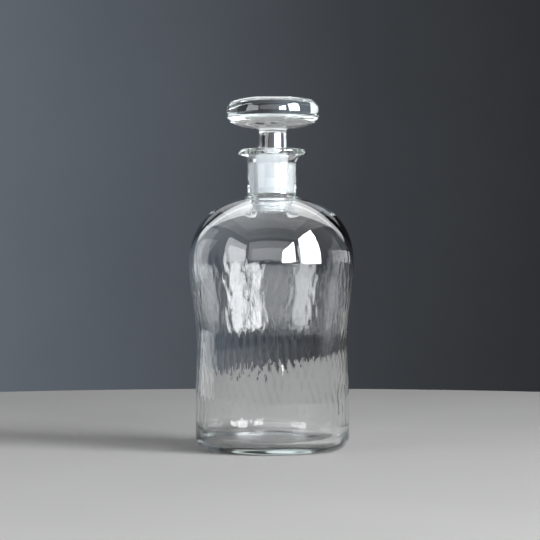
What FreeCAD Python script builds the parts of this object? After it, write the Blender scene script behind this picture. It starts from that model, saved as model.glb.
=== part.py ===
import FreeCAD, Part
import os

# A bottle-shaped glass decanter with a ground-in glass stopper, in millimetres.
# +Z is up. The origin is the middle of the foot, on the surface that the decanter stands on.
# Both pieces are bodies of revolution about Z, so each is one outline of radius and height.

# ---- body, outside: radii and the heights they are found at ----
FOOT_INNER_R = 33.0         # the foot is a flat ring, from here...
HEEL_RADIUS = 8.0           # ...out to where the rounded heel begins
PUNT_RISE = 4.8             # the pushed-up middle of the underside
BODY_R = 44.5               # straight lower body
BODY_TOP_Z = 28.0
WAIST_R = 43.6              # slight waist
WAIST_Z = 64.0
BULGE_R = 48.2              # widest place, below the shoulder
BULGE_Z = 108.0
SHOULDER_END_R = 17.5       # where the shoulder turns up into the neck
SHOULDER_END_Z = 145.4

# ---- body, inside ----
LOWER_WALL = 3.8            # the wall is thickest in the lower body...
WAIST_WALL = 3.0
BULGE_WALL = 2.1            # ...and thinnest at the bulge, where the glass was blown out most
UPPER_WALL = 4.1            # glass where the shoulder meets the neck
FLOOR_RING_R = 33.5         # lowest ring of the inner floor
FLOOR_RING_Z = 4.8
FLOOR_DOME_Z = 10.4         # middle of the inner floor, over the pushed-up base
INNER_HEEL_Z = 14.5         # where the inner heel becomes the straight wall
INNER_SHOULDER_R = 14.0     # where the inner shoulder turns up into the throat
THROAT_Z = 146.6            # foot of the straight throat

# ---- neck and lip ----
PINCH_R = 13.9              # the neck is pinched where it leaves the shoulder...
PINCH_Z = 148.7
COLLAR_R = 14.5             # ...and has a low ring of glass round its foot
COLLAR_Z = 151.4
NECK_R = 14.0
NECK_FOOT_Z = 154.6
NECK_TOP_Z = 165.4
LIP_R = 19.7
LIP_EDGE_RADIUS = 1.7       # the lip's edge is a full round
LIP_TOP_Z = 173.9
FUNNEL_R = 17.0             # the lip's top dips to the socket from here

# ---- ground joint: socket in the neck and plug on the stopper ----
JOINT_TOP_R = 9.42
JOINT_TOP_Z = 167.2
JOINT_BOTTOM_Z = 149.2
CONE_SLOPE = 0.05           # change of radius with height: a 1 in 10 taper on the diameter
JOINT_CLEARANCE = 0.03      # radial gap left between plug and socket

# ---- stopper ----
PLUG_BOTTOM_Z = 149.6
PLUG_EDGE_RADIUS = 0.8
PLUG_TOP_Z = 170.9          # the plug stands a little above its socket
STEM_FOOT_R = 8.25          # the stem tapers a little from its foot to its top
STEM_FOOT_Z = 174.8
STEM_TOP_R = 7.85
STEM_TOP_Z = 182.6
STEM_FLARE = 1.75           # how far the stem's top spreads into the knob's underside
KNOB_R = 27.1
KNOB_WIDEST_Z = 195.2
KNOB_BOTTOM_Z = 186.1       # underside beside the stem
KNOB_LOWER_R = 15.0         # the underside is a shallow cone out to here
KNOB_LOWER_Z = 186.7
KNOB_UPPER_R = 18.0         # the top is nearly flat in from here
KNOB_UPPER_Z = 203.2
KNOB_TOP_Z = 203.5


class Outline:
    """An outline of radius and height, drawn from point to point as with a pen."""

    def __init__(self, radius, height):
        self.at = (radius, height)
        self.edges = []

    @staticmethod
    def vector(point):
        return FreeCAD.Vector(point[0], 0, point[1])

    def add(self, curve, end):
        self.edges.append(curve.toShape())
        self.at = end

    def line(self, radius, height):
        end = (radius, height)
        self.add(Part.LineSegment(self.vector(self.at), self.vector(end)), end)

    def arc(self, middle, end):
        self.add(Part.Arc(self.vector(self.at), self.vector(middle), self.vector(end)), end)

    def curve(self, end, leave, arrive):
        """A smooth span whose two handles are the steps that it leaves and arrives by."""
        first = (self.at[0] + leave[0], self.at[1] + leave[1])
        second = (end[0] - arrive[0], end[1] - arrive[1])
        span = Part.BezierCurve()
        span.setPoles([self.vector(point) for point in (self.at, first, second, end)])
        self.add(span, end)

    def round_corner(self, centre, radius, turn, end):
        """A quarter round about a centre, bulging along the turn's direction."""
        reach = radius * 0.5 ** 0.5
        self.arc((centre[0] + reach * turn[0], centre[1] + reach * turn[1]), end)

    def turned(self):
        """The solid that the outline makes when it is turned about Z."""
        face = Part.Face(Part.Wire(self.edges))
        return face.revolve(FreeCAD.Vector(0, 0, 0), FreeCAD.Vector(0, 0, 1), 360)


def joint_radius(height):
    """Radius of the socket's ground cone at a height."""
    return JOINT_TOP_R - CONE_SLOPE * (JOINT_TOP_Z - height)


def draw_outside(outline):
    """Underside, heel, body and shoulder, from the middle of the base to the neck."""
    outline.curve((FOOT_INNER_R, 0), leave=(15, 0), arrive=(9, 0))
    outline.line(BODY_R - HEEL_RADIUS, 0)
    outline.round_corner((BODY_R - HEEL_RADIUS, HEEL_RADIUS), HEEL_RADIUS, (1, -1), (BODY_R, HEEL_RADIUS))
    outline.line(BODY_R, BODY_TOP_Z)
    outline.curve((WAIST_R, WAIST_Z), leave=(0, 12), arrive=(0, 14))
    outline.curve((BULGE_R, BULGE_Z), leave=(0, 14), arrive=(0, 12))
    outline.curve((SHOULDER_END_R, SHOULDER_END_Z), leave=(0, 26), arrive=(-13, 2.6))


def draw_neck_and_lip(outline):
    """The outside of the neck, its flare and the rounded lip, as far as the lip's top."""
    lip_middle_r = LIP_R - LIP_EDGE_RADIUS
    lip_middle_z = LIP_TOP_Z - LIP_EDGE_RADIUS
    outline.curve((PINCH_R, PINCH_Z), leave=(-2.4, 0.48), arrive=(0, 1.5))
    outline.curve((COLLAR_R, COLLAR_Z), leave=(0, 1), arrive=(0, 1))
    outline.curve((NECK_R, NECK_FOOT_Z), leave=(0, 1.1), arrive=(0, 1.3))
    outline.line(NECK_R, NECK_TOP_Z)
    outline.curve((lip_middle_r, lip_middle_z - LIP_EDGE_RADIUS), leave=(0, 3.2), arrive=(1.7, 0.1))
    outline.arc((LIP_R, lip_middle_z), (lip_middle_r, LIP_TOP_Z))


def draw_socket(outline):
    """From the lip's top down its funnel, the ground cone and the throat."""
    outline.line(FUNNEL_R, LIP_TOP_Z)
    outline.curve((JOINT_TOP_R, JOINT_TOP_Z), leave=(-3.4, -0.1), arrive=(-0.48, -4.0))
    outline.line(joint_radius(JOINT_BOTTOM_Z), JOINT_BOTTOM_Z)
    outline.line(joint_radius(JOINT_BOTTOM_Z), THROAT_Z)


def draw_inside(outline):
    """Inner shoulder, wall and domed floor, from the throat to the middle of the floor."""
    inner_shoulder_z = SHOULDER_END_Z - UPPER_WALL
    outline.curve((INNER_SHOULDER_R, inner_shoulder_z), leave=(0, -3.2), arrive=(3.4, -0.5))
    outline.curve((BULGE_R - BULGE_WALL, BULGE_Z), leave=(14, -2.4), arrive=(0, -22))
    outline.curve((WAIST_R - WAIST_WALL, WAIST_Z), leave=(0, -12), arrive=(0, -14))
    outline.curve((BODY_R - LOWER_WALL, BODY_TOP_Z), leave=(0, -14), arrive=(0, -12))
    outline.line(BODY_R - LOWER_WALL, INNER_HEEL_Z)
    outline.curve((FLOOR_RING_R, FLOOR_RING_Z), leave=(0, -5.4), arrive=(-4.8, 0))
    outline.curve((0, FLOOR_DOME_Z), leave=(-11, 0), arrive=(-15, 0))


def make_bottle():
    outline = Outline(0, PUNT_RISE)
    draw_outside(outline)
    draw_neck_and_lip(outline)
    draw_socket(outline)
    draw_inside(outline)
    outline.line(0, PUNT_RISE)
    return outline.turned()


def draw_plug(outline):
    """The ground plug, with its edge eased, and its rounded shoulder up to the stem."""
    bottom_r = joint_radius(PLUG_BOTTOM_Z) - JOINT_CLEARANCE
    edge_z = PLUG_BOTTOM_Z + PLUG_EDGE_RADIUS
    edge_r = joint_radius(edge_z) - JOINT_CLEARANCE
    outline.line(bottom_r - PLUG_EDGE_RADIUS, PLUG_BOTTOM_Z)
    outline.curve((edge_r, edge_z), leave=(0.45, 0), arrive=(0.02, 0.45))
    outline.line(joint_radius(PLUG_TOP_Z) - JOINT_CLEARANCE, PLUG_TOP_Z)
    outline.curve((STEM_FOOT_R, STEM_FOOT_Z), leave=(0.13, 2.6), arrive=(0, 1.6))


def draw_knob(outline):
    """The stem, and the flattened pebble of a knob on top of it."""
    outline.line(STEM_TOP_R, STEM_TOP_Z)
    outline.curve((STEM_TOP_R + STEM_FLARE, KNOB_BOTTOM_Z), leave=(0, 2.2), arrive=(1.1, 0.15))
    outline.line(KNOB_LOWER_R, KNOB_LOWER_Z)
    outline.curve((KNOB_R, KNOB_WIDEST_Z), leave=(9, 1.2), arrive=(0, 4.6))
    outline.curve((KNOB_UPPER_R, KNOB_UPPER_Z), leave=(0, 4.8), arrive=(-6.4, 0.1))
    outline.curve((0, KNOB_TOP_Z), leave=(-6, 0.1), arrive=(-6, 0))


def make_stopper():
    outline = Outline(0, PLUG_BOTTOM_Z)
    draw_plug(outline)
    draw_knob(outline)
    outline.line(0, PLUG_BOTTOM_Z)
    return outline.turned()


def main():
    os.makedirs("parts", exist_ok=True)
    pieces = {"bottle": make_bottle(), "stopper": make_stopper()}
    for name, shape in pieces.items():
        shape.exportStep(f"parts/{name}.step")
        box = shape.BoundBox
        print(name, shape.ShapeType, "valid", shape.isValid(), "volume", round(shape.Volume / 1000, 1),
              "cm3, height", round(box.ZMin, 2), "to", round(box.ZMax, 2), "width", round(box.XLength, 2))


main()
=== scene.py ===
import math
import random

import bpy
import numpy as np
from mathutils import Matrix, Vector


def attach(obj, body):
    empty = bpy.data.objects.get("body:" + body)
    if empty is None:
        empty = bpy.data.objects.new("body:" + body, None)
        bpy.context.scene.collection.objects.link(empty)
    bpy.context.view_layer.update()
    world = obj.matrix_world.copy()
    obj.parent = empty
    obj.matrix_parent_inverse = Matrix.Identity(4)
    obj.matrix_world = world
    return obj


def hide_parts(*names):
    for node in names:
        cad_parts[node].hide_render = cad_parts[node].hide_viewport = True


# A stoppered decanter of clear hand-blown glass. Outlines are in millimetres of radius and
# height, as in the CAD model. Everything is turned into metres when its mesh is made. The
# bulge and the knob are a little smaller than the CAD's, so that their waves stay inside it.

MM = 0.001

# ---- bottle, outside ----
PUNT_RISE = 4.8             # the pushed-up middle of the underside
FOOT_INNER_R = 33.0
HEEL_RADIUS = 8.0
BODY_R = 44.5
BODY_TOP_Z = 28.0
WAIST_R = 43.6
WAIST_Z = 64.0
BULGE_R = 47.85             # widest place, below the shoulder
BULGE_Z = 108.0
SHOULDER_END_R = 17.5
SHOULDER_END_Z = 145.4
PINCH_R = 13.9              # the neck is pinched where it leaves the shoulder...
PINCH_Z = 148.7
COLLAR_R = 14.5             # ...and has a low ring of glass round its foot
COLLAR_Z = 151.4
NECK_R = 14.0
NECK_FOOT_Z = 154.6
NECK_TOP_Z = 165.4
LIP_R = 19.7
LIP_EDGE_RADIUS = 1.7
LIP_TOP_Z = 173.9

# ---- bottle, inside ----
FUNNEL_R = 17.0
JOINT_TOP_R = 9.42          # the ground socket
JOINT_TOP_Z = 167.2
JOINT_BOTTOM_Z = 149.2
CONE_SLOPE = 0.05
JOINT_CLEARANCE = 0.03
THROAT_Z = 146.6
INNER_SHOULDER_R = 14.0
INNER_SHOULDER_Z = 141.3
BULGE_WALL = 2.0            # the wall grows thicker from the bulge down to the heel
WAIST_WALL = 3.0
LOWER_WALL = 3.8
INNER_HEEL_Z = 14.5
FLOOR_RING_R = 33.5
FLOOR_RING_Z = 4.8
FLOOR_DOME_Z = 10.4

# ---- stopper ----
PLUG_BOTTOM_Z = 149.6
PLUG_EDGE_RADIUS = 0.8
PLUG_TOP_Z = 170.9
STEM_FOOT_R = 8.25
STEM_FOOT_Z = 174.8
STEM_R = 7.85
STEM_TOP_Z = 182.6
STEM_FLARE = 1.75
KNOB_BOTTOM_Z = 186.1
KNOB_LOWER_R = 15.0
KNOB_LOWER_Z = 186.7
KNOB_R = 26.9
KNOB_WIDEST_Z = 195.2
KNOB_UPPER_R = 18.6
KNOB_UPPER_Z = 203.2
KNOB_TOP_Z = 203.4

# ---- grinding: 0 is clear glass and 1 is ground ----
CLEAR = (0.0, 0.0)
GROUND = (1.0, 1.0)
GROUND_FADING_IN = (0.0, 1.0)
GROUND_FADING_OUT = (1.2, -0.6)     # from beyond 1 to below 0, so that the change is short

# ---- the blower's hand: how far the glass strays from a true body of revolution ----
BODY_LEAN = 0.36            # the foot leans this far to +X, and the bulge as far to -X
LIP_LEAN = 0.4
KNOB_LEAN = 0.45
KNOB_DENT = 0.35            # the knob's upper edge falls short by this much at its -X side
WALL_SHIFT = 0.8            # the lower wall is this much thicker at +X and thinner at -X
RIPPLE_TOP_Z = 112.0        # the upright ripples of the inner wall end about here, raggedly
RIPPLE_RAGGEDNESS = 1.6     # root-mean-square height of their ragged ends
RIPPLE_HEIGHT = 0.031       # root-mean-square height of the ripples
FEATHER_HEIGHT = 0.011      # the same for the finer trains that cross them
RIPPLE_AT_SIDES = 0.75      # share of the ripples' height at +X and -X...
RIPPLE_AHEAD = 0.45         # ...and what is added to it at the front and the back
RIPPLE_OUTSIDE = 0.25       # share of the ripples' height on the outer wall
WAVE_HEIGHT = 0.045         # slow waviness of the outer wall
KNOB_WAVE_HEIGHT = 0.028

# ---- wave trains: seed, how many, fewest and most waves round, steepest tilt, falloff ----
RIPPLE_TRAINS = (11, 36, (46, 68), 0.7, 0.4)
FEATHER_TRAINS = (17, 24, (48, 66), 0.95, 0.0)
RAGGED_TRAINS = (19, 12, (24, 60), 0.1, 0.3)
BODY_TRAINS = (13, 12, (2, 9), 0.05, 0.8)
KNOB_TRAINS = (21, 10, (2, 7), 0.3, 0.6)

# ---- heights between which each of these sets in, from none at the first to all at the second ----
BODY_WAVES_ABOVE = (8, 22)
BODY_WAVES_BELOW = (138, 118)
RIPPLES_ABOVE = (10, 24)
RIPPLES_BELOW = (2, -2)     # these two are measured from the ragged ends
WALL_SHIFT_ABOVE = (6, 16)
WALL_SHIFT_BELOW = (95, 25)
FOOT_LEANS_BELOW = (118, 5)
BODY_LEANS_BELOW = (146, 122)
LIP_LEANS_ABOVE = (167, 172)
KNOB_WAVES_ABOVE = (184, 189)
KNOB_LEANS_ABOVE = (172, 178)
KNOB_DENT_ABOVE = (195, 201)
KNOB_DENT_SIDE = (-0.4, -1)     # cosines of the angle round from +X

# ---- meshes ----
BOTTLE_SIDES = 384
STOPPER_SIDES = 240

# ---- materials ----
GLASS_IOR = 1.52
GROUND_TRANSMISSION = 0.72
GROUND_ROUGHNESS = (0.75, 0.95)
CLEAR_ROUGHNESS = (0.0, 0.012)
FROST_DARK = (0.82, 0.86, 0.89, 1)
FROST_LIGHT = (0.94, 0.95, 0.97, 1)
WHITE = (1, 1, 1, 1)
GLASS_RELIEF = 0.0001               # metres of bump for a height of 1
GROUND_RELIEF = 0.3
CORD_RELIEF = 0.75
CORDS_BELOW = (RIPPLE_TOP_Z * MM, (RIPPLE_TOP_Z - 6) * MM)     # fine streaks, in metres
CORDS_ABOVE = (0.008, 0.022)
BOTTLE_TINT = (0.55, 0.95, 0.82, 1)
BOTTLE_TINT_DENSITY = 3.0
STOPPER_TINT = (0.55, 0.92, 0.82, 1)
STOPPER_TINT_DENSITY = 1.5
BOARD_DARK = (0.165, 0.162, 0.158, 1)
BOARD_LIGHT = (0.188, 0.185, 0.18, 1)
BOARD_ROUGHNESS = 0.9
BOARD_SPECULAR = 0.04

# ---- floor, in metres ----
FLOOR_RADIUS = 0.61
FLOOR_EDGE = 0.012          # radius of its rounded edge
FLOOR_EDGE_STEPS = 12
FLOOR_SIDES = 180
FLOOR_GAP = 0.0002          # air left under the foot, so that its underside still mirrors

# ---- studio: its grey across the view, from left to right ----
STUDIO_HALF_WIDTH = 0.16    # the grey changes over directions this far to each side
STUDIO_CLOUD = 0.03
STUDIO_GREYS = ((0.0, (0.122, 0.142, 0.168, 1)),
                (0.36, (0.078, 0.088, 0.104, 1)),
                (0.64, (0.043, 0.048, 0.054, 1)),
                (1.0, (0.024, 0.025, 0.028, 1)))

# ---- lamps, in metres. Each upright one has two corners and a radiance. ----
DAYLIGHT = (0.96, 0.98, 1.0)
RIGHT = 1.5
LEFT = -1.5
SILL = 0.12                 # about level with the bulge
WINDOW_TOP = 1.55
WINDOW_RADIANCE = 42
WINDOW_NEAR = ((RIGHT, -1.72, SILL), (RIGHT, -0.49, WINDOW_TOP), WINDOW_RADIANCE)
WINDOW_FAR = ((RIGHT, -5.6, 0.22), (RIGHT, -2.3, WINDOW_TOP), WINDOW_RADIANCE)
WINDOW_BACK = ((RIGHT, 0.2, 0.18), (RIGHT, 1.8, 0.6), 1.9)
LEFT_FRONT = ((LEFT, -2.1, 0.17), (LEFT, -0.61, 1.15), 6)
FRONT = ((-1.5, -2.5, 0.3), (1.3, -2.5, 1.6), 2.1)
LEFT_BACK = ((LEFT, 0.2, -0.1), (LEFT, 1.6, 1.2), 1.1)
BACK_HIGH = ((-1.6, 2.2, 1.1), (1.6, 2.2, 1.7), 0.85)
OVERHEAD_WIDTH = 2.0
OVERHEAD_DEPTH = 3.2
OVERHEAD_PLACE = (0, 0.6, 1.6)
OVERHEAD_RADIANCE = 0.75

# ---- camera, in metres ----
CAMERA_DISTANCE = 1.163
CAMERA_HEIGHT = 0.104
CAMERA_SIDE = -0.0011
CAMERA_LENS = 133.7         # millimetres


# ------------------------------------------------------------------ outlines

class Outline:
    """An outline of radius and height as a row of points. Each point also says how far its
    glass is ground, and whether it is on the inside, as 0 or 1."""

    def __init__(self, radius, height):
        self.points = [(radius, height)]
        self.ground = [0.0]
        self.inside = [0.0]
        self.is_inside = 0.0

    def add(self, points, ground):
        """Adds points whose grinding changes evenly between the two values in ground."""
        first, last = ground
        self.points += points
        self.ground += [first + (last - first) * step / len(points) for step in range(1, len(points) + 1)]
        self.inside += [self.is_inside] * len(points)

    def line(self, end, steps, ground=CLEAR):
        start = self.points[-1]
        shares = [step / steps for step in range(1, steps + 1)]
        self.add([(start[0] + (end[0] - start[0]) * t, start[1] + (end[1] - start[1]) * t)
                  for t in shares], ground)

    def curve(self, end, leave, arrive, steps, ground=CLEAR):
        """A smooth span whose two handles are the steps that it leaves and arrives by."""
        start = self.points[-1]
        first = (start[0] + leave[0], start[1] + leave[1])
        second = (end[0] - arrive[0], end[1] - arrive[1])
        points = []
        for step in range(1, steps + 1):
            t = step / steps
            shares = ((1 - t) ** 3, 3 * t * (1 - t) ** 2, 3 * t * t * (1 - t), t ** 3)
            points.append(tuple(sum(share * point[axis] for share, point
                                    in zip(shares, (start, first, second, end)))
                                for axis in (0, 1)))
        self.add(points, ground)

    def turn(self, centre, radius, start, stop, steps):
        """A round from one angle to another, in degrees above the horizontal."""
        angles = [math.radians(start + (stop - start) * step / steps) for step in range(1, steps + 1)]
        self.add([(centre[0] + radius * math.cos(a), centre[1] + radius * math.sin(a))
                  for a in angles], CLEAR)


def joint_radius(height):
    """Radius of the socket's ground cone at a height."""
    return JOINT_TOP_R - CONE_SLOPE * (JOINT_TOP_Z - height)


def draw_bottle_outside(line):
    """From the middle of the underside, up the body and the neck and over the lip."""
    line.curve((FOOT_INNER_R, 0), leave=(15, 0), arrive=(9, 0), steps=10)
    line.line((BODY_R - HEEL_RADIUS, 0), steps=2)
    line.turn((BODY_R - HEEL_RADIUS, HEEL_RADIUS), HEEL_RADIUS, start=-90, stop=0, steps=10)
    line.line((BODY_R, BODY_TOP_Z), steps=4)
    line.curve((WAIST_R, WAIST_Z), leave=(0, 12), arrive=(0, 14), steps=14)
    line.curve((BULGE_R, BULGE_Z), leave=(0, 14), arrive=(0, 12), steps=18)
    line.curve((SHOULDER_END_R, SHOULDER_END_Z), leave=(0, 26), arrive=(-13, 2.6), steps=28)
    line.curve((PINCH_R, PINCH_Z), leave=(-2.4, 0.48), arrive=(0, 1.5), steps=6)
    line.curve((COLLAR_R, COLLAR_Z), leave=(0, 1.0), arrive=(0, 1.0), steps=5)
    line.curve((NECK_R, NECK_FOOT_Z), leave=(0, 1.1), arrive=(0, 1.3), steps=5)
    line.line((NECK_R, NECK_TOP_Z), steps=4)
    edge_r = LIP_R - LIP_EDGE_RADIUS
    edge_z = LIP_TOP_Z - LIP_EDGE_RADIUS
    line.curve((edge_r, edge_z - LIP_EDGE_RADIUS), leave=(0, 3.2), arrive=(1.7, 0.1), steps=9)
    line.turn((edge_r, edge_z), LIP_EDGE_RADIUS, start=-90, stop=90, steps=10)
    line.line((FUNNEL_R, LIP_TOP_Z), steps=1)
    line.curve((JOINT_TOP_R, JOINT_TOP_Z), leave=(-3.4, -0.1), arrive=(-0.48, -4.0), steps=10)


def draw_bottle_inside(line):
    """From the top of the ground socket, down the inner wall to the middle of the floor."""
    line.is_inside = 1.0
    line.line((joint_radius(JOINT_BOTTOM_Z), JOINT_BOTTOM_Z), steps=6, ground=GROUND)
    line.line((joint_radius(JOINT_BOTTOM_Z), THROAT_Z), steps=2)
    line.curve((INNER_SHOULDER_R, INNER_SHOULDER_Z), leave=(0, -3.2), arrive=(3.4, -0.5), steps=7)
    line.curve((BULGE_R - BULGE_WALL, BULGE_Z), leave=(14, -2.4), arrive=(0, -22), steps=26)
    line.curve((WAIST_R - WAIST_WALL, WAIST_Z), leave=(0, -12), arrive=(0, -14), steps=30)
    line.curve((BODY_R - LOWER_WALL, BODY_TOP_Z), leave=(0, -14), arrive=(0, -12), steps=24)
    line.line((BODY_R - LOWER_WALL, INNER_HEEL_Z), steps=7)
    line.curve((FLOOR_RING_R, FLOOR_RING_Z), leave=(0, -5.4), arrive=(-4.8, 0), steps=10)
    line.curve((0, FLOOR_DOME_Z), leave=(-11, 0), arrive=(-15, 0), steps=10)


def bottle_outline():
    line = Outline(0, PUNT_RISE)
    draw_bottle_outside(line)
    draw_bottle_inside(line)
    return line


def stopper_outline():
    """From the middle of the plug's end, up the plug, stem and knob to the top's middle."""
    bottom_r = joint_radius(PLUG_BOTTOM_Z) - JOINT_CLEARANCE
    edge_z = PLUG_BOTTOM_Z + PLUG_EDGE_RADIUS
    edge_r = joint_radius(edge_z) - JOINT_CLEARANCE
    line = Outline(0, PLUG_BOTTOM_Z)
    line.line((bottom_r - PLUG_EDGE_RADIUS, PLUG_BOTTOM_Z), steps=6)
    line.curve((edge_r, edge_z), leave=(0.45, 0), arrive=(0.02, 0.45), steps=4, ground=GROUND_FADING_IN)
    line.line((joint_radius(PLUG_TOP_Z) - JOINT_CLEARANCE, PLUG_TOP_Z), steps=13, ground=GROUND)
    line.curve((STEM_FOOT_R, STEM_FOOT_Z),
               leave=(0.13, 2.6), arrive=(0, 1.6), steps=12, ground=GROUND_FADING_OUT)
    line.line((STEM_R, STEM_TOP_Z), steps=6)
    line.curve((STEM_R + STEM_FLARE, KNOB_BOTTOM_Z), leave=(0, 2.2), arrive=(1.1, 0.15), steps=9)
    line.line((KNOB_LOWER_R, KNOB_LOWER_Z), steps=3)
    line.curve((KNOB_R, KNOB_WIDEST_Z), leave=(9, 1.2), arrive=(0, 4.6), steps=20)
    line.curve((KNOB_UPPER_R, KNOB_UPPER_Z), leave=(0, 5.1), arrive=(-6.0, 0.1), steps=20)
    line.curve((0, KNOB_TOP_Z), leave=(-6, 0.1), arrive=(-6, 0), steps=12)
    return line


# ------------------------------------------------------------------ the blower's hand

def smooth_step(low, high, value):
    """0 below low, 1 above high, and smooth between. low may be above high."""
    share = np.clip((value - low) / (high - low), 0, 1)
    return share * share * (3 - 2 * share)


def wave_trains(seed, how_many, counts, tilt, falloff):
    """Random wave trains round the glass: (waves round, radians per millimetre of height,
    phase, share of height). With some falloff, trains of more waves are lower."""
    draw = random.Random(seed)
    trains = []
    for _ in range(how_many):
        count = draw.randint(*counts)
        trains.append((count, draw.uniform(-tilt, tilt), draw.uniform(0, math.tau),
                       (counts[0] / count) ** falloff))
    size = math.sqrt(sum(train[3] ** 2 for train in trains) / 2)
    return [(count, rise, phase, share / size) for count, rise, phase, share in trains]


def add_up(trains, angle, height):
    """The trains' sum at each angle and height, with a root-mean-square of 1."""
    total = np.zeros(np.broadcast(angle, height).shape)
    for count, rise, phase, share in trains:
        total += share * np.sin(count * angle + rise * height + phase)
    return total


def bottle_ripples(angle, height):
    """The upright ripples of the inner wall, in millimetres."""
    ends = RIPPLE_TOP_Z + RIPPLE_RAGGEDNESS * add_up(wave_trains(*RAGGED_TRAINS), angle, height)
    rippled = smooth_step(*RIPPLES_ABOVE, height) * smooth_step(*RIPPLES_BELOW, height - ends)
    ripples = add_up(wave_trains(*RIPPLE_TRAINS), angle, height)
    feathers = add_up(wave_trains(*FEATHER_TRAINS), angle, height)
    ahead = RIPPLE_AT_SIDES + RIPPLE_AHEAD * np.sin(angle) ** 2
    return rippled * ahead * (RIPPLE_HEIGHT * ripples + FEATHER_HEIGHT * feathers)


def bottle_relief(angle, height, inside):
    """How far each point of the bottle stands off its outline, in millimetres."""
    on_body = smooth_step(*BODY_WAVES_ABOVE, height) * smooth_step(*BODY_WAVES_BELOW, height)
    waves = add_up(wave_trains(*BODY_TRAINS), angle, height)
    ripple = bottle_ripples(angle, height)
    thicker = (WALL_SHIFT * np.cos(angle) * smooth_step(*WALL_SHIFT_BELOW, height)
               * smooth_step(*WALL_SHIFT_ABOVE, height))
    outside = WAVE_HEIGHT * on_body * waves + RIPPLE_OUTSIDE * ripple
    return inside * (ripple + thicker) + (1 - inside) * outside


def bottle_lean(height):
    """Sideways drift of the bottle's axis with height. The ground joint is true."""
    body = BODY_LEAN * (smooth_step(*FOOT_LEANS_BELOW, height) * 2 - 1)
    lip = LIP_LEAN * smooth_step(*LIP_LEANS_ABOVE, height)
    return body * smooth_step(*BODY_LEANS_BELOW, height) + lip


def stopper_relief(angle, height, _inside):
    """How far each point of the stopper stands off its outline. The stopper has no inside."""
    on_knob = smooth_step(*KNOB_WAVES_ABOVE, height)
    waves = add_up(wave_trains(*KNOB_TRAINS), angle, height)
    dent = KNOB_DENT * smooth_step(*KNOB_DENT_ABOVE, height) * smooth_step(*KNOB_DENT_SIDE, np.cos(angle))
    return KNOB_WAVE_HEIGHT * on_knob * waves - dent


def stopper_lean(height):
    """Sideways drift of the stopper's axis with height."""
    return KNOB_LEAN * smooth_step(*KNOB_LEANS_ABOVE, height)


# ------------------------------------------------------------------ meshes

def lathe_vertices(outline, sides, relief, lean):
    """The outline's first point, a ring of points for each one between, and its last point."""
    points = np.array(outline.points)
    along = np.gradient(points, axis=0)
    normals = np.stack([along[:, 1], -along[:, 0]], axis=1)
    normals /= np.linalg.norm(normals, axis=1)[:, None]
    ground = np.array(outline.ground[1:-1])[:, None]
    inside = np.array(outline.inside[1:-1])[:, None]
    angle = np.arange(sides)[None, :] * math.tau / sides
    height = points[1:-1, 1][:, None]
    off = relief(angle, height, inside) * (1 - ground)
    radius = points[1:-1, 0][:, None] + off * normals[1:-1, 0][:, None]
    z = height + off * normals[1:-1, 1][:, None]
    x = radius * np.cos(angle) + lean(height)
    y = radius * np.sin(angle)
    rings = np.stack([x, y, z], axis=2).reshape(-1, 3)
    first = [[lean(points[0, 1]), 0, points[0, 1]]]
    last = [[lean(points[-1, 1]), 0, points[-1, 1]]]
    return np.concatenate([first, rings, last]) * MM


def lathe_faces(rings, sides):
    """A fan round the first point, four-sided faces between the rings, and a fan at the last."""
    faces = [(0, 1 + (side + 1) % sides, 1 + side) for side in range(sides)]
    for row in range(rings - 1):
        low = 1 + row * sides
        for side in range(sides):
            after = (side + 1) % sides
            faces.append((low + side, low + after, low + sides + after, low + sides + side))
    top = 1 + (rings - 1) * sides
    faces += [(top + side, top + (side + 1) % sides, top + sides) for side in range(sides)]
    return faces


def lathe(name, outline, sides, relief, lean):
    """Turns an outline about Z into a closed mesh, roughened by relief and moved by lean. The
    mesh says at each point how far its glass is ground."""
    vertices = lathe_vertices(outline, sides, relief, lean)
    mesh = bpy.data.meshes.new(name)
    mesh.from_pydata(vertices.tolist(), [], lathe_faces(len(outline.points) - 2, sides))
    rings_ground = np.repeat(np.array(outline.ground[1:-1]), sides)
    mask = mesh.attributes.new("ground", "FLOAT", "POINT")
    mask.data.foreach_set("value", np.concatenate(
        [[outline.ground[1]], rings_ground, [outline.ground[-1]]]).astype(np.float32))
    mesh.shade_smooth()
    mesh.validate()
    piece = bpy.data.objects.new(name, mesh)
    bpy.context.scene.collection.objects.link(piece)
    return piece


# ------------------------------------------------------------------ materials

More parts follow.
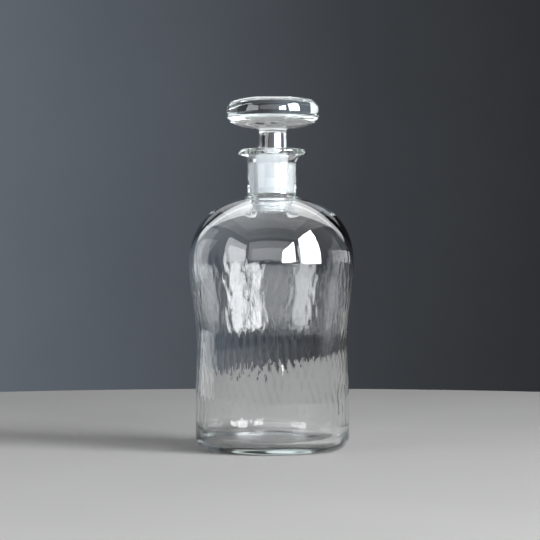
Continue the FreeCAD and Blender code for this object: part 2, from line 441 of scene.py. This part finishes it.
class Nodes:
    """Short names for building one material's node tree."""

    def __init__(self, tree):
        self.tree = tree

    def add(self, kind, **settings):
        """A new node. Each setting is an input of it, or else an attribute."""
        node = self.tree.nodes.new(kind)
        for key, value in settings.items():
            if key in node.inputs:
                node.inputs[key].default_value = value
            else:
                setattr(node, key, value)
        return node

    def link(self, start, end):
        self.tree.links.new(start, end)

    def noise(self, coordinates, stretch, detail=3.0, roughness=0.5):
        """Noise whose grain is stretch waves to the metre along each axis."""
        scaled = self.add("ShaderNodeMapping", Scale=stretch)
        self.link(coordinates, scaled.inputs["Vector"])
        noise = self.add("ShaderNodeTexNoise", Scale=1.0, Detail=detail, Roughness=roughness)
        self.link(scaled.outputs["Vector"], noise.inputs["Vector"])
        return noise.outputs["Fac"]

    def math(self, operation, first, second):
        node = self.add("ShaderNodeMath", operation=operation)
        for socket, value in zip(node.inputs, (first, second)):
            if isinstance(value, (int, float)):
                socket.default_value = value
            else:
                self.link(value, socket)
        return node.outputs["Value"]

    def between(self, value, low, high):
        """Maps 0 to 1 onto low to high."""
        node = self.add("ShaderNodeMapRange")
        node.inputs["To Min"].default_value = low
        node.inputs["To Max"].default_value = high
        self.link(value, node.inputs["Value"])
        return node.outputs["Result"]

    def rise(self, value, low, high):
        """0 at low, 1 at high, and straight between. low may be above high."""
        node = self.add("ShaderNodeMapRange")
        node.inputs["From Min"].default_value = low
        node.inputs["From Max"].default_value = high
        self.link(value, node.inputs["Value"])
        return node.outputs["Result"]

    def mix(self, share, first, second):
        node = self.add("ShaderNodeMix", data_type="RGBA")
        self.link(share, node.inputs["Factor"])
        for socket, value in ((node.inputs["A"], first), (node.inputs["B"], second)):
            if isinstance(value, tuple):
                socket.default_value = value
            else:
                self.link(value, socket)
        return node.outputs["Result"]


def cord_relief(nodes, place):
    """Fine upright streaks, only where the body is rippled."""
    cords = nodes.noise(place, (640, 640, 80), detail=1.0)
    split = nodes.add("ShaderNodeSeparateXYZ")
    nodes.link(place, split.inputs["Vector"])
    below_top = nodes.rise(split.outputs["Z"], *CORDS_BELOW)
    above_heel = nodes.rise(split.outputs["Z"], *CORDS_ABOVE)
    rippled = nodes.math("MULTIPLY", below_top, above_heel)
    return nodes.math("MULTIPLY", rippled, nodes.math("MULTIPLY", cords, CORD_RELIEF))


def glass(name, tint, tint_density):
    """Clear glass with a faint tint in its depth and fine upright streaks where the body is
    rippled. It is matt white where the mesh says that it is ground."""
    material = bpy.data.materials.new(name)
    material.use_nodes = True
    nodes = Nodes(material.node_tree)
    shader = material.node_tree.nodes["Principled BSDF"]
    output = material.node_tree.nodes["Material Output"]
    shader.inputs["IOR"].default_value = GLASS_IOR
    place = nodes.add("ShaderNodeTexCoord").outputs["Object"]
    ground = nodes.add("ShaderNodeAttribute", attribute_name="ground").outputs["Fac"]

    cloud = nodes.noise(place, (60, 60, 60))
    grain = nodes.noise(place, (5200, 5200, 5200), detail=2.0)
    turning = nodes.noise(place, (90, 90, 2600), detail=4.0, roughness=0.7)

    frost = nodes.mix(cloud, FROST_DARK, FROST_LIGHT)
    nodes.link(nodes.mix(ground, WHITE, frost), shader.inputs["Base Color"])
    nodes.link(nodes.between(ground, 1.0, GROUND_TRANSMISSION), shader.inputs["Transmission Weight"])
    matt = nodes.math("MULTIPLY", ground, nodes.between(turning, *GROUND_ROUGHNESS))
    polish = nodes.between(cloud, *CLEAR_ROUGHNESS)
    nodes.link(nodes.math("ADD", matt, polish), shader.inputs["Roughness"])

    ground_share = nodes.math("MULTIPLY", ground, GROUND_RELIEF)
    ground_relief = nodes.math("MULTIPLY", ground_share, nodes.math("ADD", grain, turning))
    relief = nodes.math("ADD", ground_relief, cord_relief(nodes, place))
    bump = nodes.add("ShaderNodeBump", Strength=1.0, Distance=GLASS_RELIEF)
    nodes.link(relief, bump.inputs["Height"])
    nodes.link(bump.outputs["Normal"], shader.inputs["Normal"])

    volume = nodes.add("ShaderNodeVolumeAbsorption", Color=tint, Density=tint_density)
    nodes.link(volume.outputs["Volume"], output.inputs["Volume"])
    return material


def floor_material():
    """A pale matt board with a faint cloudiness."""
    material = bpy.data.materials.new("floor_board")
    material.use_nodes = True
    nodes = Nodes(material.node_tree)
    shader = material.node_tree.nodes["Principled BSDF"]
    place = nodes.add("ShaderNodeTexCoord").outputs["Object"]
    cloud = nodes.noise(place, (7, 7, 7), detail=4.0)
    nodes.link(nodes.mix(cloud, BOARD_DARK, BOARD_LIGHT), shader.inputs["Base Color"])
    shader.inputs["Roughness"].default_value = BOARD_ROUGHNESS
    shader.inputs["Specular IOR Level"].default_value = BOARD_SPECULAR
    return material


# ------------------------------------------------------------------ stage, light and camera

def floor_rings():
    """Radius and height of each ring of the floor, from the underside round its edge."""
    middle_r = FLOOR_RADIUS - FLOOR_EDGE
    rings = [(middle_r, -2 * FLOOR_EDGE)]
    for step in range(1, FLOOR_EDGE_STEPS + 1):
        angle = math.radians(-90 + 180 * step / FLOOR_EDGE_STEPS)
        rings.append((middle_r + FLOOR_EDGE * math.cos(angle), -FLOOR_EDGE + FLOOR_EDGE * math.sin(angle)))
    return rings


def make_floor():
    """A round pale board with a rounded edge. It isn't part of the object."""
    sides = FLOOR_SIDES
    rings = floor_rings()
    vertices = [(r * math.cos(math.tau * side / sides), r * math.sin(math.tau * side / sides), z)
                for r, z in rings for side in range(sides)]
    faces = [tuple(reversed(range(sides)))]
    for row in range(len(rings) - 1):
        low = row * sides
        for side in range(sides):
            after = (side + 1) % sides
            faces.append((low + side, low + after, low + sides + after, low + sides + side))
    last = (len(rings) - 1) * sides
    faces.append(tuple(range(last, last + sides)))
    mesh = bpy.data.meshes.new("floor")
    mesh.from_pydata(vertices, [], faces)
    floor = bpy.data.objects.new("floor", mesh)
    floor.data.materials.append(floor_material())
    floor.location.z = -FLOOR_GAP
    bpy.context.scene.collection.objects.link(floor)
    return floor


def make_world():
    """A dark grey studio, a little lighter to the left and faintly blue."""
    world = bpy.data.worlds.new("studio")
    bpy.context.scene.world = world
    world.use_nodes = True
    nodes = Nodes(world.node_tree)
    background = world.node_tree.nodes["Background"]
    place = nodes.add("ShaderNodeTexCoord").outputs["Generated"]
    split = nodes.add("ShaderNodeSeparateXYZ")
    nodes.link(place, split.inputs["Vector"])
    cloud = nodes.noise(place, (9, 9, 9), detail=4.0)
    across = nodes.math("ADD", split.outputs["X"], nodes.between(cloud, -STUDIO_CLOUD, STUDIO_CLOUD))
    share = nodes.rise(across, -STUDIO_HALF_WIDTH, STUDIO_HALF_WIDTH)
    ramp = nodes.add("ShaderNodeValToRGB")
    while len(ramp.color_ramp.elements) < len(STUDIO_GREYS):
        ramp.color_ramp.elements.new(0.5)
    for element, (position, colour) in zip(ramp.color_ramp.elements, STUDIO_GREYS):
        element.position = position
        element.color = colour
    nodes.link(share, ramp.inputs["Fac"])
    nodes.link(ramp.outputs["Color"], background.inputs["Color"])


def area_lamp(name, width, depth, radiance):
    """A rectangular lamp that shines evenly and that the camera doesn't see."""
    data = bpy.data.lights.new(name, "AREA")
    data.shape = "RECTANGLE"
    data.size = width
    data.size_y = depth
    data.energy = radiance * math.pi * width * depth
    lamp = bpy.data.objects.new(name, data)
    bpy.context.scene.collection.objects.link(lamp)
    lamp.visible_camera = False
    return lamp


def panel(name, corner, far_corner, radiance):
    """A lamp of daylight in an upright plane, between two corners, that faces the object."""
    low = Vector(corner)
    high = Vector(far_corner)
    middle = (low + high) / 2
    across = high - low
    facing = Vector((across.y, -across.x, 0)).normalized()
    if facing.dot(middle) < 0:
        facing = -facing
    lamp = area_lamp(name, math.hypot(across.x, across.y), across.z, radiance)
    lamp.data.color = DAYLIGHT
    lamp.location = middle
    lamp.rotation_mode = "QUATERNION"
    lamp.rotation_quaternion = facing.to_track_quat("Z", "Y")
    return lamp


def collection(name, things):
    group = bpy.data.collections.new(name)
    for thing in things:
        group.objects.link(thing)
    return group


def make_lights(bottle, floor):
    """Tall windows along the right, with their sills level with the bulge, and dimmer light
    from the left, the front, the back and above."""
    panel("window_near", *WINDOW_NEAR)
    panel("window_far", *WINDOW_FAR)
    back = panel("window_back", *WINDOW_BACK)
    back.visible_glossy = False
    back.light_linking.receiver_collection = collection("back_receivers", [bottle, floor])
    panel("left", *LEFT_FRONT)
    panel("front", *FRONT)
    panel("left_back", *LEFT_BACK)
    panel("back_high", *BACK_HIGH)
    overhead = area_lamp("overhead", OVERHEAD_WIDTH, OVERHEAD_DEPTH, OVERHEAD_RADIANCE)
    overhead.location = OVERHEAD_PLACE


def make_camera():
    """The photograph's view: level, at the height of the bulge, through a long lens."""
    data = bpy.data.cameras.new("camera")
    data.lens = CAMERA_LENS
    camera = bpy.data.objects.new("camera", data)
    bpy.context.scene.collection.objects.link(camera)
    camera.location = (CAMERA_SIDE, -CAMERA_DISTANCE, CAMERA_HEIGHT)
    camera.rotation_euler = (math.radians(90), 0, 0)
    bpy.context.scene.camera = camera


def set_up_rendering():
    """Plain colours, and enough bounces for light to cross four walls of glass and the stopper."""
    scene = bpy.context.scene
    scene.view_settings.view_transform = "Standard"
    scene.cycles.max_bounces = 24
    scene.cycles.transmission_bounces = 24
    scene.cycles.glossy_bounces = 12
    scene.cycles.use_denoising = True


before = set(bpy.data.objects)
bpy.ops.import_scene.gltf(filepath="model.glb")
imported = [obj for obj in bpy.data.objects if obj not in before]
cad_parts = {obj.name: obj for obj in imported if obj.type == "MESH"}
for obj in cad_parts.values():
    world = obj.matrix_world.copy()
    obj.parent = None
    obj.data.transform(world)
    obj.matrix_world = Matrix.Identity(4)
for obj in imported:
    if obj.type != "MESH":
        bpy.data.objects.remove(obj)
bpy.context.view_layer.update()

make_camera()
bottle = lathe("bottle_glass", bottle_outline(), BOTTLE_SIDES, bottle_relief, bottle_lean)
bottle.data.materials.append(glass("bottle_glass", BOTTLE_TINT, BOTTLE_TINT_DENSITY))
stopper = lathe("stopper_glass", stopper_outline(), STOPPER_SIDES, stopper_relief, stopper_lean)
stopper.data.materials.append(glass("stopper_glass", STOPPER_TINT, STOPPER_TINT_DENSITY))

for piece, node in ((bottle, "bottle"), (stopper, "stopper")):
    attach(piece, node)
    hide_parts(node)

floor = make_floor()
make_world()
make_lights(bottle, floor)
set_up_rendering()
